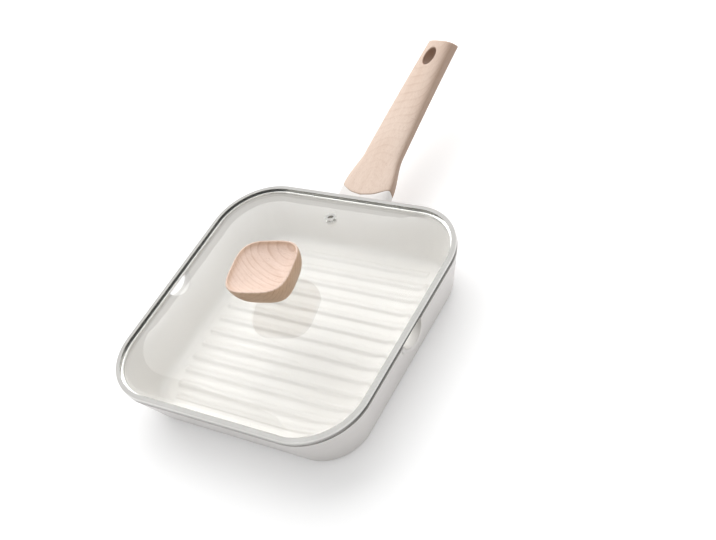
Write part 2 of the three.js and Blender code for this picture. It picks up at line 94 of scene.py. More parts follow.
LUG_SIZE = (64.0, 24.0)
LUG_DROP = 3.0
LUG_MIDDLE = PAN_HEIGHT - LUG_DROP - LUG_SIZE[1] / 2
LUG_FILLET = 4.0
LUG_EDGE = 0.35
LUG_EDGE_AT = 0.965
LUG_BELOW_LIP = 1.6

GRIP_START = LIP_HALF + 9.3
GRIP_LENGTH = 203.7
GRIP_TOP = PAN_HEIGHT - 0.85
GRIP_RISE = math.tan(math.radians(11.5))
GRIP_END_RISE = math.tan(math.radians(7.6))
GRIP_SWEEP = 12.5
NECK_AT = 56.0
FOOT_SIZE = (58.0, 17.0)
NECK_SIZE = (44.0, 16.0)
END_SIZE = (29.0, 20.0)
END_LEAN = 0.75
END_ROUND = 2.0
END_DRAW_IN = 1.4
# The grip's top is rounder than in the source
TOP_POWER = 2.4
FOOT_TOP_POWER = 6.0
UNDER_POWER = 4.2
END_UNDER_POWER = 8.0
HOLE_SIZE = (12.0, 24.0)
HOLE_FROM_END = 21.0
HOLE_ROUND = 2.0

TANG_SIZE = (24.0, 5.0)
TANG_LENGTH = 75.0
TANG_LIFT = 1.5
GRIP_SCREW_AT = 55.0
GRIP_SCREW_Y = GRIP_START + GRIP_SCREW_AT
GRIP_SCREW_HEAD = (4.5, 2.0)
GRIP_SCREW_SHANK = 2.5
GRIP_SCREW_BORE = GRIP_SCREW_SHANK + GAP
# Share of the tang's height that the screw fills
GRIP_SCREW_SHARE = 0.75
GRIP_WASHER = (4.8, 0.8)
GRIP_HEAD_BORE = GRIP_WASHER[0] + GAP
GRIP_SEAT_WOOD = 2.0

LID_SEAT = PAN_HEIGHT + GAP
RIM_SHEET = 0.8
RIM_LIP = 4.5
GLASS = 4.0
RIM_HEIGHT = GLASS + 2 * (RIM_SHEET + GAP)
SKIRT_DROP = 3.0
SKIRT_CLEARANCE = 0.8
SKIRT_INSET = WALL_ACROSS + SKIRT_DROP * SLOPE + SKIRT_CLEARANCE
GLASS_INSET = RIM_SHEET + GAP
GLASS_RISE = 17.0
GLASS_BORDER = 9.0
GLASS_UNDER = LID_SEAT + RIM_SHEET + GAP
DOME_POWER = 3.5
DOME_TOP_ROUND = 0.95
DOME_FOOT_EASE = 3.0
DOME_HALF = LIP_HALF - GLASS_INSET - GLASS_BORDER
DOME_CORNER = LIP_CORNER - GLASS_INSET - GLASS_BORDER
GLASS_TOP = GLASS_UNDER + GLASS + GLASS_RISE

VENT_AT = 101.0
VENT_WASHER = (5.2, 0.8)
EYELET_BORE = 2.6
EYELET_TUBE = 3.4
VENT_BORE = EYELET_TUBE + GAP
EYELET_FLANGE = 5.6

KNOB_ACROSS = 65.5
KNOB_HEIGHT = 29.0
KNOB_POWER = 3.4
KNOB_TURN = math.radians(12)
KNOB_LEAN = (-2.0, -1.5)
KNOB_FOOT = 29.0
KNOB_DISH = 10.0
KNOB_RIM = 2.0
KNOB_INSERT = (4.0, 10.0)
KNOB_BORE = (KNOB_INSERT[0] + GAP, KNOB_INSERT[1] + GAP)
KNOB_BORE_EDGE = 0.4
KNOB_SLOT = (10.0, 3.0, 4.0)
KNOB_SLOT_AT = 16.5
KNOB_SLOT_ANGLE = math.radians(-99)
KNOB_SLOT_TILT = math.radians(118)
KNOB_SCREW_HEAD = (4.2, 2.6)
KNOB_SCREW_SHANK = 2.0
KNOB_SCREW_REACH = 8.0
STACK_BORE = KNOB_SCREW_SHANK + GAP
GASKET = (11.5, 1.5)
COLLAR = (12.5, 2.0)
COLLAR_CHAMFER = 1.0
KNOB_WASHER = (8.0, 1.2)
COLLAR_SEAT = GLASS_TOP + GAP + GASKET[1] + GAP
KNOB_SEAT = COLLAR_SEAT + COLLAR[1] + GAP
LOWER_GASKET_TOP = GLASS_UNDER + GLASS_RISE - GAP
KNOB_WASHER_TOP = LOWER_GASKET_TOP - GASKET[1] - GAP
KNOB_SCREW_TOP = KNOB_WASHER_TOP - KNOB_WASHER[1] - GAP

# Edges that meet at more than these angles, in degrees, are drawn sharp
CREASE = 32
PAN_CREASE = 40
GRIP_CREASE = 38
GLASS_CREASE = 45
TRIM_CREASE = 50
PLATE_CREASE = 20


# Meshes


def lerp(a, b, t):
    return a + (b - a) * t


def smoothstep(t):
    t = min(1.0, max(0.0, t))
    return t * t * (3 - 2 * t)


def bezier(a, b, c, steps):
    a, b, c = (np.array(p, float) for p in (a, b, c))
    return [tuple((1 - t) ** 2 * a + 2 * t * (1 - t) * b + t * t * c) for t in np.linspace(0, 1, steps + 1)]


def turn_steps(count):
    return np.linspace(0, 2 * math.pi, count, endpoint=False)


class Shell:
    """Points in millimetres and faces, gathered into one mesh."""

    def __init__(self):
        self.points = []
        self.faces = []
        self.looks = []

    def loop(self, points):
        start = len(self.points)
        self.points.extend(tuple(float(c) for c in p) for p in points)
        return list(range(start, len(self.points)))

    def face(self, corners, look=0):
        self.faces.append(tuple(corners))
        self.looks.append(look)

    def band(self, low, high, look=0, flipped=False):
        count = len(low)
        for i in range(count):
            j = (i + 1) % count
            quad = (low[i], low[j], high[j], high[i])
            self.face(quad[::-1] if flipped else quad, look)

    def stack(self, loops, look=0, capped=True):
        rings = [self.loop(points) for points in loops]
        for low, high in zip(rings, rings[1:]):
            self.band(low, high, look)
        if capped:
            self.face(rings[0][::-1], look)
            self.face(rings[-1], look)
        else:
            self.band(rings[-1], rings[0], look)
        return self


def make(name, shell, looks, crease=CREASE):
    """Object with the shell's mesh, in metres."""
    mesh = bpy.data.meshes.new(name)
    mesh.from_pydata([[c * MM for c in p] for p in shell.points], [], shell.faces)
    for look in looks:
        mesh.materials.append(look)
    mesh.polygons.foreach_set("material_index", shell.looks)
    obj = bpy.data.objects.new(name, mesh)
    scene.collection.objects.link(obj)
    soften(obj, crease)
    return obj


def soften(obj, crease):
    """Smooth shading, but for edges that meet at more than the crease angle."""
    mesh = obj.data
    mesh.polygons.foreach_set("use_smooth", [True] * len(mesh.polygons))
    mesh.set_sharp_from_angle(angle=math.radians(crease))
    mesh.update()


def combine(obj, other, operation, crease=CREASE):
    """Joins or cuts obj with other, and removes other."""
    modifier = obj.modifiers.new("combine", "BOOLEAN")
    modifier.operation = operation
    modifier.object = other
    modifier.solver = "EXACT"
    bpy.context.view_layer.update()
    evaluated = obj.evaluated_get(bpy.context.evaluated_depsgraph_get())
    mesh = bpy.data.meshes.new_from_object(evaluated)
    obj.modifiers.clear()
    old = obj.data
    name = old.name
    obj.data = mesh
    bpy.data.meshes.remove(old)
    mesh.name = name
    bpy.data.objects.remove(other)
    soften(obj, crease)


def keep_first_look(obj):
    """Drops the materials that cutters have brought along."""
    for index in range(len(obj.data.materials) - 1, 0, -1):
        obj.data.materials.pop(index=index)


def rounded_square(half, radius, z, corner_steps=20, side_steps=8):
    points = []
    reach = half - radius
    for corner in range(4):
        turn = corner * math.pi / 2
        cos, sin = math.cos(turn), math.sin(turn)
        local = []
        for step in range(corner_steps + 1):
            angle = step / corner_steps * math.pi / 2
            local.append((reach + radius * math.cos(angle), reach + radius * math.sin(angle)))
        for step in range(1, side_steps):
            local.append((lerp(reach, -reach, step / side_steps), half))
        points.extend((x * cos - y * sin, x * sin + y * cos, z) for x, y in local)
    return points


def inset_square(inset, z):
    return rounded_square(LIP_HALF - inset, LIP_CORNER - inset, z)


def circle(radius, z, steps=96, y=0.0):
    return [(radius * math.cos(a), radius * math.sin(a) + y, z) for a in turn_steps(steps)]


def rounded_corner(outline, index, radius, steps):
    count = len(outline)
    before, here, after = (np.array(outline[(index + k) % count], float) for k in (-1, 0, 1))
    a = here + (before - here) / np.linalg.norm(before - here) * radius
    b = here + (after - here) / np.linalg.norm(after - here) * radius
    return bezier(a, here, b, steps)


def rounded(outline, radius, steps=4):
    """Outline of [radius, height] pairs, with each corner off the axis rounded as far as there is room."""
    points = []
    count = len(outline)
    for i, here in enumerate(outline):
        if here[0] < 1e-6:
            points.append(tuple(here))
            continue
        room = 0.45 * min(math.dist(here, outline[(i + k) % count]) for k in (-1, 1))
        points.extend(rounded_corner(outline, i, min(radius, room), steps))
    return points


def turned(name, outline, looks, place=None, steps=96, crease=CREASE):
    """Turned piece about Z from a closed outline of [radius, height] pairs, counter-clockwise."""
    shell = Shell()
    rings = []
    for radius, height in outline:
        if radius < 1e-6:
            rings.append(shell.loop([(0, 0, height)]))
        else:
            rings.append(shell.loop(circle(radius, height, steps)))
    for low, high in zip(rings, rings[1:] + rings[:1]):
        if len(low) == 1 and len(high) == 1:
            continue
        for i in range(steps):
            j = (i + 1) % steps
            if len(low) == 1:
                shell.face((low[0], high[j], high[i]))
            elif len(high) == 1:
                shell.face((low[i], low[j], high[0]))
            else:
                shell.face((low[i], low[j], high[j], high[i]))
    if place:
        shell.points = [place(p) for p in shell.points]
    return make(name, shell, looks, crease)


def ring(inner, outer, low, high):
    return [(inner, low), (outer, low), (outer, high), (inner, high)]


def bore(name, radius, low, high, y=0.0):
    """Upright round cutter."""
    loops = [circle(radius, level, 64, y) for level in (low, high)]
    return make(name, Shell().stack(loops), [plain_steel])


# Materials


def node(tree, kind, inputs=None, **settings):
    made = tree.nodes.new(kind)
    for key, value in settings.items():
        setattr(made, key, value)
    for key, value in (inputs or {}).items():
        if isinstance(value, bpy.types.NodeSocket):
            tree.links.new(value, made.inputs[key])
        else:
            made.inputs[key].default_value = value
    return made


def math_node(tree, operation, a, b=0.0):
    return node(tree, "ShaderNodeMath", {0: a, 1: b}, operation=operation).outputs[0]


def vector_node(tree, operation, a, b=(0.0, 0.0, 0.0)):
    return node(tree, "ShaderNodeVectorMath", {0: a, 1: b}, operation=operation).outputs


def scaled(tree, vector, factors):
    return vector_node(tree, "MULTIPLY", vector, factors)[0]


def length_of(tree, vector):
    return vector_node(tree, "LENGTH", vector)["Value"]


def parts_of(tree, vector):
    return node(tree, "ShaderNodeSeparateXYZ", {0: vector}).outputs


def noise(tree, vector, scale, detail=2.0, roughness=0.5, distortion=0.0):
    inputs = {
        "Vector": vector, "Scale": scale, "Detail": detail,
        "Roughness": roughness, "Distortion": distortion,
    }
    return node(tree, "ShaderNodeTexNoise", inputs).outputs["Fac"]


def spread(tree, value, low, high, to_low, to_high):
    inputs = {"Value": value, "From Min": low, "From Max": high, "To Min": to_low, "To Max": to_high}
    return node(tree, "ShaderNodeMapRange", inputs).outputs["Result"]


def mix(tree, factor, a, b, blend="MIX"):
    inputs = {0: factor, 6: a, 7: b}
    return node(tree, "ShaderNodeMix", inputs, data_type="RGBA", blend_type=blend).outputs[2]


def bump(tree, shader, height, strength, distance):
    made = node(tree, "ShaderNodeBump", {"Height": height, "Strength": strength, "Distance": distance})
    tree.links.new(made.outputs[0], shader.inputs["Normal"])


def look(name, **values):
    material = bpy.data.materials.new(name)
    material.use_nodes = True
    tree = material.node_tree
    shader = tree.nodes["Principled BSDF"]
    for key, value in values.items():
        shader.inputs[key.replace("_", " ")].default_value = value
    place = tree.nodes.new("ShaderNodeTexCoord").outputs["Object"]
    return material, tree, shader, place


def paint(tree, shader, base_color, roughness):
    tree.links.new(base_color, shader.inputs["Base Color"])
    tree.links.new(roughness, shader.inputs["Roughness"])


def colour(red, green, blue):
    return (red, green, blue, 1.0)


def grey(value):
    return colour(value, value, value)


def ceramic(name, base, shade, rough):
    """Satin sprayed coating: faint mottling, fine specks and a slight orange-peel surface."""
    material, tree, shader, place = look(name, IOR=1.5, Coat_Weight=0.12, Coat_Roughness=0.12)
    mottle = noise(tree, place, 22.0, 4.0, 0.6)
    specks = noise(tree, place, 1500.0, 1.0, 0.4)
    soft = mix(tree, spread(tree, mottle, 0.35, 0.65, 0.0, 1.0), base, shade)
    darker = colour(*(0.72 * c for c in shade[:3]))
    tone = mix(tree, spread(tree, specks, 0.66, 0.80, 0.0, 0.06), soft, darker)
    satin = spread(tree, noise(tree, place, 90.0, 3.0), 0.3, 0.7, rough - 0.01, rough + 0.08)
    paint(tree, shader, tone, satin)
    peel = math_node(tree, "ADD", noise(tree, place, 420.0, 2.0), math_node(tree, "MULTIPLY", specks, 0.15))
    bump(tree, shader, peel, 0.05, 0.0003)
    return material


def growth_rings(tree, grain, spacing, waver, start, peak):
    """Rings about the pith line, each rising slowly from start to a dark line at peak."""
    radius = length_of(tree, scaled(tree, grain, (1.0, 0.0, 1.0)))
    drift = noise(tree, scaled(tree, grain, (1.0, 0.22, 1.0)), 38.0, 2.0, 0.45)
    drift = math_node(tree, "MULTIPLY", math_node(tree, "SUBTRACT", drift, 0.5), waver)
    phase = math_node(tree, "DIVIDE", math_node(tree, "ADD", radius, drift), spacing)
    ramp = node(tree, "ShaderNodeValToRGB", {"Fac": math_node(tree, "FRACT", phase)})
    ramp.color_ramp.interpolation = "EASE"
    stops = ramp.color_ramp.elements
    stops[0].position, stops[0].color = 0.0, grey(0.0)
    stops[1].position, stops[1].color = start, grey(0.16)
    for position, value in ((peak, 1.0), (peak + 0.07, 0.8), (1.0, 0.0)):
        stops.new(position).color = grey(value)
    return ramp.outputs["Color"]


def wood(name, tones, grain_turn, pith, spacing, waver, rough, line=(0.62, 0.86, 0.50), fade_and_shade=None):
    """Beech: growth rings about a pith line, fine fibres along it and short dark flecks.

    Tones are pale, dark, fleck and a painted-shade tint, multiplied onto surfaces that face sideways or down
    so that they look shaded. Line gives where in a ring its dark line starts and peaks, and how strong it is.
    The fade argument gives two places along Y: the rings are faint up to the first, full from the second, and
    beyond that the wood darkens as painted shade.
    """
    pale, dark, deep, side = tones
    material, tree, shader, place = look(name, IOR=1.48)
    placing = {"Vector": place, "Location": pith, "Rotation": grain_turn}
    grain = node(tree, "ShaderNodeMapping", placing).outputs[0]
    rings = growth_rings(tree, grain, spacing, waver, line[0], line[1])
    fibres = noise(tree, scaled(tree, grain, (1.0, 0.045, 1.0)), 1100.0, 3.0, 0.65)
    bands = noise(tree, scaled(tree, grain, (1.0, 0.06, 1.0)), 120.0, 2.0, 0.5)
    flecks = noise(tree, scaled(tree, grain, (1.0, 0.10, 1.0)), 2300.0, 1.0, 0.4)
    flecks = spread(tree, flecks, 0.66, 0.76, 0.0, 1.0)
    strength = spread(tree, bands, 0.3, 0.7, 0.10, line[2])
    if fade_and_shade:
        along = parts_of(tree, place)["Y"]
        strength = math_node(tree, "MULTIPLY", strength, spread(tree, along, fade_and_shade[0], fade_and_shade[1], 0.25, 1.0))
        # painted shade: beyond the second place along Y the wood turns darker, as the grip's far end lies in
        # shade
        pale = mix(tree, spread(tree, along, fade_and_shade[1], fade_and_shade[1] + 0.11, 0.0, 0.35), pale, dark)
    ringed = mix(tree, math_node(tree, "MULTIPLY", rings, strength), pale, dark)
    streaked = mix(tree, spread(tree, fibres, 0.35, 0.75, 0.0, 0.38), ringed, dark)
    banded = mix(tree, spread(tree, bands, 0.45, 0.8, 0.0, 0.30), streaked, dark)
    flecked = mix(tree, math_node(tree, "MULTIPLY", flecks, 0.45), banded, deep)
    # painted shade: faces turned away from straight up are multiplied by the side tint, darker and browner as
    # if in shade
    upward = parts_of(tree, tree.nodes.new("ShaderNodeTexCoord").outputs["Normal"])["Z"]
    tone = mix(tree, spread(tree, upward, 0.2, 0.85, 1.0, 0.0), flecked, side, "MULTIPLY")
    paint(tree, shader, tone, spread(tree, fibres, 0.3, 0.7, rough - 0.05, rough + 0.10))
    relief = math_node(tree, "SUBTRACT", math_node(tree, "MULTIPLY", fibres, 0.5), flecks)
    bump(tree, shader, relief, 0.10, 0.00025)
    return material


def rim_shade(tree, place, height):
    """Mask of painted shade: one on the rim's outer face below a height, fainter along the front and back,
    and nought elsewhere.
    """
    at = parts_of(tree, place)
    low = spread(tree, at["Z"], height - 0.0006, height + 0.0006, 1.0, 0.0)
    sides = spread(tree, math_node(tree, "ABSOLUTE", at["Y"]), 0.09, 0.139, 1.0, 0.3)
    corner = (CORNER_AT * MM, CORNER_AT * MM, 1.0)
    away = vector_node(tree, "SUBTRACT", vector_node(tree, "ABSOLUTE", place)[0], corner)[0]
    away = length_of(tree, vector_node(tree, "MAXIMUM", away)[0])
    outer = spread(tree, away, (LIP_CORNER - 1.6) * MM, (LIP_CORNER - 1.0) * MM, 0.0, 1.0)
    return math_node(tree, "MULTIPLY", math_node(tree, "MULTIPLY", low, sides), outer)


def steel(name, base, shade, rough, stretch, painted_shade_top=None):
    """Steel or brass with fine drawn lines and slight clouding, with painted shade on the rim's lower outer
    edge below a given height, standing in for the shadow in the groove above the pan's lip.
    """
    material, tree, shader, place = look(name, Metallic=1.0)
    lines = noise(tree, scaled(tree, place, stretch), 1600.0, 3.0, 0.6)
    clouds = noise(tree, place, 45.0, 3.0)
    tone = mix(tree, spread(tree, clouds, 0.35, 0.65, 0.0, 1.0), base, shade)
    # painted shade: a near-black band on the rim's lower outer edge, for the shadow in the groove between rim
    # and pan
    if painted_shade_top:
        tone = mix(tree, rim_shade(tree, place, painted_shade_top), tone, colour(0.07, 0.068, 0.063))
    paint(tree, shader, tone, spread(tree, lines, 0.3, 0.7, rough * 0.7, rough * 1.5))
    bump(tree, shader, lines, 0.03, 0.00008)
    return material


def turned_steel(name, base, shade, rough):
    """Faced steel with fine rings about Z."""
    material, tree, shader, place = look(name, Metallic=1.0)
    radius = length_of(tree, scaled(tree, place, (1.0, 1.0, 0.0)))
    rings = noise(tree, node(tree, "ShaderNodeCombineXYZ", {0: radius}).outputs[0], 2600.0, 3.0, 0.7)
    clouds = noise(tree, place, 30.0, 3.0)
    tone = mix(tree, spread(tree, clouds, 0.35, 0.65, 0.0, 1.0), base, shade)
    paint(tree, shader, tone, spread(tree, rings, 0.3, 0.7, rough * 0.75, rough * 1.4))
    bump(tree, shader, rings, 0.12, 0.0001)
    return material


def silicone(name, base, shade):
    """Matt silicone with a powdery surface."""
    material, tree, shader, place = look(name, IOR=1.41)
    powder = noise(tree, place, 700.0, 3.0, 0.6)
    tone = mix(tree, spread(tree, powder, 0.35, 0.65, 0.0, 1.0), base, shade)
    paint(tree, shader, tone, spread(tree, powder, 0.3, 0.7, 0.5, 0.7))
    bump(tree, shader, powder, 0.06, 0.0002)
    return material


def clear_glass(name):
    """Tempered glass with a trace of smear; lamps shine through it."""
    material, tree, shader, place = look(name, IOR=1.46, Transmission_Weight=1.0)
    shader.inputs["Base Color"].default_value = colour(0.985, 0.992, 0.988)
    smear = noise(tree, scaled(tree, place, (1.0, 0.5, 1.0)), 26.0, 5.0, 0.6, 0.4)
    tree.links.new(spread(tree, smear, 0.55, 0.8, 0.0, 0.035), shader.inputs["Roughness"])
    bump(tree, shader, noise(tree, place, 14.0, 1.0), 0.02, 0.0006)
    through = node(tree, "ShaderNodeBsdfTransparent", {"Color": colour(0.88, 0.883, 0.88)})
    to_lamp = tree.nodes.new("ShaderNodeLightPath").outputs["Is Shadow Ray"]
    both = node(tree, "ShaderNodeMixShader", {0: to_lamp, 1: shader.outputs[0], 2: through.outputs[0]})
    tree.links.new(both.outputs[0], tree.nodes["Material Output"].inputs["Surface"])
    return material


inside_coat = ceramic("coat_inside", colour(0.86, 0.832, 0.795), colour(0.847, 0.817, 0.777), 0.30)
outside_coat = ceramic("coat_outside", colour(0.86, 0.83, 0.805), colour(0.845, 0.815, 0.79), 0.32)
pan_looks = [inside_coat, outside_coat]
INSIDE, OUTSIDE = 0, 1
# Pale, dark, fleck, and a tint multiplied onto the grip's sides as painted shade
grip_tones = (
    colour(0.81, 0.655, 0.55), colour(0.62, 0.44, 0.335), colour(0.40, 0.25, 0.17),
    colour(0.62, 0.54, 0.48),
)
grip_wood = wood(
    "beech_grip", grip_tones, grain_turn=(0.0, 0.0, 0.0), pith=(-0.003, 0.0, -0.022),
    spacing=0.0017, waver=0.0010, rough=0.42, fade_and_shade=(0.17, 0.24),
)
# Pale, dark, fleck, and a tint multiplied onto the knob's body as painted shade
knob_tones = (
    colour(0.89, 0.70, 0.60), colour(0.66, 0.45, 0.335), colour(0.38, 0.23, 0.15),
    colour(0.90, 0.80, 0.64),
)
knob_wood = wood(
    "beech_knob", knob_tones, grain_turn=(0.0, 0.0, math.radians(110)), pith=(0.165, 0.0, 0.04),
    spacing=0.0041, waver=0.0058, rough=0.46, line=(0.66, 0.88, 0.85),
)
# The rim's steel gets painted shade below this height, for the shadow in the groove above the pan's lip
rim_steel = steel("rim_steel", colour(0.66, 0.65, 0.63), colour(0.62, 0.61, 0.59), 0.14, (1.0, 1.0, 0.1),
                  painted_shade_top=(LID_SEAT + 3.0) * MM)
plain_steel = steel("fastener_steel", colour(0.60, 0.59, 0.58), colour(0.54, 0.53, 0.52), 0.18,
                    (1.0, 1.0, 1.0))
plate_steel = turned_steel("plate_steel", colour(0.60, 0.60, 0.59), colour(0.54, 0.54, 0.53), 0.38)
brass = steel("brass", colour(0.70, 0.52, 0.24), colour(0.62, 0.45, 0.20), 0.28, (1.0, 1.0, 0.2))
pale_silicone = silicone("silicone", colour(0.78, 0.76, 0.72), colour(0.72, 0.70, 0.66))
glass = clear_glass("lid_glass")


# Pan body


def arc_profile(foot_half, foot_z, radius, steps=9):
    """Rounded edge between a level foot and the leaning wall, as [inset from the lip, height] pairs."""
    centre = foot_half + radius * ((1 - math.sin(DRAFT)) * SLOPE - math.cos(DRAFT))
    angles = np.linspace(-math.pi / 2, -DRAFT, steps + 1)
    return [(LIP_HALF - (centre + radius * math.cos(a)), foot_z + radius * (1 + math.sin(a))) for a in angles]


def filled(values, widest):
    """Values with more put between them wherever they lie further apart than widest."""
    out = [values[0]]
    for a, b in zip(values, values[1:]):
        parts = max(1, math.ceil((b - a) / widest - 1e-9))
        out.extend(lerp(a, b, step / parts) for step in range(1, parts + 1))
    return out


def rib_layout(floor_half, base_half):
    """Place and half length of each rib; those near the corners are shorter."""
    ribs = []
    for rib in range(-RIB_COUNT, RIB_COUNT + 1):
        at = rib * RIB_PITCH
        loss = max(0.0, abs(at) - (base_half - LIP_CORNER))
        ribs.append((at, floor_half - RIB_END_MARGIN - loss * loss / LIP_CORNER / 2))
    return ribs


def floor_rows(ribs, flat_corner):
    """Places along Y of the floor's rows of points, which lie close together on the ribs."""
    rows = set()
    for at, _ in ribs:
        for across in RIB_ACROSS:
            rows.update((round(at + across, 4), round(at - across, 4)))
    start = math.asin((max(rows) - CORNER_AT) / flat_corner)
    for angle in np.linspace(start, math.pi / 2, 16)[1:]:
        y = CORNER_AT + flat_corner * math.sin(angle)
        rows.update((y, -y))
    return np.array(filled(sorted(rows), 3.2))


def floor_columns():
    """Places along X as shares of the floor's half width, which lie close together where the ribs end."""
    rib_ends = list(np.arange(0.862, 0.972, 0.0065))
    half = [0.0, 0.12, 0.24, 0.36, 0.48, 0.6, 0.7, 0.79] + rib_ends + [0.985, 1.0]
    return np.array([-share for share in half[:0:-1]] + half)


def rib_heights(xs, ys, ribs):
    heights = np.zeros_like(xs)
    for at, length in ribs:
        past = np.maximum(np.abs(xs) - (length - RIB_HALF), 0.0)
        away = np.hypot(past, ys - at)
        heights = np.maximum(heights, np.interp(away, RIB_ACROSS, RIB_HEIGHTS))
    return heights


def wall_inset(z, inner):
    return (PAN_HEIGHT - z) * SLOPE + (WALL_ACROSS if inner else 0.0)


def wall_profile(inner_arc, base_half):
    """Section of the wall, up from the floor, over the lip and down to the base: inset, height, look."""
    inner_top = PAN_HEIGHT - LIP_INNER_ROUND[1]
    outer_top = PAN_HEIGHT - LIP_ROUND
    ledge = PAN_HEIGHT - LIP_STEP
    inside = inner_arc[1:] + [(wall_inset(z, True), z) for z in (20.0, 28.0, 36.0, 44.0)]
    inside += bezier((wall_inset(inner_top, True), inner_top), (WALL_ACROSS, PAN_HEIGHT),
                     (WALL_ACROSS - LIP_INNER_ROUND[0], PAN_HEIGHT), 5)
    outside = bezier((LIP_LEDGE + STEP_TOP_ROUND, PAN_HEIGHT), (LIP_LEDGE, PAN_HEIGHT),
                     (LIP_LEDGE, PAN_HEIGHT - STEP_TOP_ROUND), 3)
    outside += bezier((LIP_LEDGE, ledge + STEP_FOOT_ROUND), (LIP_LEDGE, ledge),
                      (LIP_LEDGE - STEP_FOOT_ROUND, ledge), 3)
    outside += bezier((LEDGE_END, ledge), (LEDGE_BEND, ledge), (wall_inset(outer_top, False), outer_top), 6)
    for z in (50.3, 47.8, 45.2, 42.7, 40.1, 37.6, 35.2, 30.0, 22.0, 15.0):
        outside.append((wall_inset(z, False), z))
    outside += arc_profile(base_half, 0.0, BASE_ROUND)[::-1]
    return [(inset, z, INSIDE) for inset, z in inside] + [(inset, z, OUTSIDE) for inset, z in outside]


def make_pan_shell():
    """The pan without lug, tang and spouts: a grid of points for the ribbed floor, then loops round it."""
    floor_half = LIP_HALF - WALL_ACROSS - (PAN_HEIGHT - FLOOR) * SLOPE
    base_half = LIP_HALF - PAN_HEIGHT * SLOPE
    inner_arc = arc_profile(floor_half, FLOOR, FLOOR_ROUND)
    flat_half = LIP_HALF - inner_arc[0][0]
    flat_corner = flat_half - CORNER_AT
    ribs = rib_layout(floor_half, base_half)
    ys = floor_rows(ribs, flat_corner)
    columns = floor_columns()

    beyond = np.maximum(np.abs(ys) - CORNER_AT, 0.0)
    reach = CORNER_AT + np.sqrt(np.maximum(flat_corner ** 2 - beyond ** 2, 0.0))
    xs = reach[:, None] * columns[None, :]
    grid_y = np.repeat(ys[:, None], len(columns), axis=1)
    heights = rib_heights(xs, grid_y, ribs)

    shell = Shell()
    rows = [shell.loop(zip(xs[i], grid_y[i], FLOOR + heights[i])) for i in range(len(ys))]
    for low, high in zip(rows, rows[1:]):
        for i in range(len(columns) - 1):
            shell.face((low[i], low[i + 1], high[i + 1], high[i]), INSIDE)

    last_row, last_column = len(ys) - 1, len(columns) - 1
    edge = [(i, last_column) for i in range(last_row + 1)]
    edge += [(last_row, k) for k in range(last_column - 1, -1, -1)]
    edge += [(i, 0) for i in range(last_row - 1, -1, -1)]
    edge += [(0, k) for k in range(1, last_column)]
    spots = np.array([(xs[i, k], grid_y[i, k]) for i, k in edge])
    outward = np.sign(spots) * np.maximum(np.abs(spots) - CORNER_AT, 0.0)
    outward /= np.linalg.norm(outward, axis=1)[:, None]
    lip = spots + outward * (LIP_HALF - flat_half)
    previous = [rows[i][k] for i, k in edge]

    def add_loop(places, z, finish):
        nonlocal previous
        here = shell.loop(np.column_stack([places, np.full(len(places), z)]))
        shell.band(previous, here, finish, flipped=True)
        previous = here

    for inset, z, finish in wall_profile(inner_arc, base_half):
        add_loop(lip - outward * inset, z, finish)
    foot = np.array([shell.points[i] for i in previous])
    angles = np.arctan2(foot[:, 1], foot[:, 0])
    recess = PLATE_RADIUS + GAP
    round_edge = np.column_stack([np.cos(angles), np.sin(angles)])
    for share in (0.5, 1.0):
        add_loop(lerp(foot[:, :2], round_edge * (recess + RECESS_EDGE), share), 0.0, OUTSIDE)
    for z in (RECESS_EDGE, PLATE_THICKNESS + GAP):
        add_loop(round_edge * recess, z, OUTSIDE)
    shell.face(previous[::-1], OUTSIDE)
    return make("pan_shell", shell, pan_looks, PAN_CREASE)


def fillet_at(away, radius):
    """How far a fillet of this radius stands out at a distance from the wall."""
    return radius - math.sqrt(max(0.0, radius ** 2 - max(0.0, radius - away) ** 2))


def make_lug():
    """Lug from the wall to the foot of the grip, with a fillet at the wall and its front edge eased."""
    least_radius = 8.0
    root = section(0.0, LUG_MIDDLE, LUG_SIZE[0], LUG_SIZE[1])
    front = section(GRIP_START - GAP, grip_middle(0), FOOT_SIZE[0], FOOT_SIZE[1], GRIP_SWEEP, FOOT_TOP_POWER)
    loops = []
    for share in (-0.13, 0.0, 0.04, 0.09, 0.15, 0.22, 0.32, 0.46, 0.62, 0.78, 0.90, LUG_EDGE_AT, 1.0):
        past_wall = max(share, 0.0)
        middle = lerp(LUG_MIDDLE, grip_middle(0), past_wall)
        drop = LUG_EDGE * max(0.0, share - LUG_EDGE_AT) / (1 - LUG_EDGE_AT)
        loop = []
        for (rx, _, rz), (fx, fy, fz) in zip(root, front):
            wall_y = LIP_HALF - (PAN_HEIGHT - rz) * SLOPE
            x, y, z = lerp(rx, fx, past_wall), lerp(wall_y, fy, share), lerp(rz, fz, past_wall)
            flare = fillet_at(past_wall * (fy - wall_y), LUG_FILLET)
            grow = 1 + (flare - drop) / max(math.hypot(fx, fz - grip_middle(0)), least_radius)
            loop.append((x * grow, y, min(middle + (z - middle) * grow, PAN_HEIGHT - LUG_BELOW_LIP)))
        loops.append(loop)
    return make("lug", Shell().stack(loops, OUTSIDE), pan_looks)


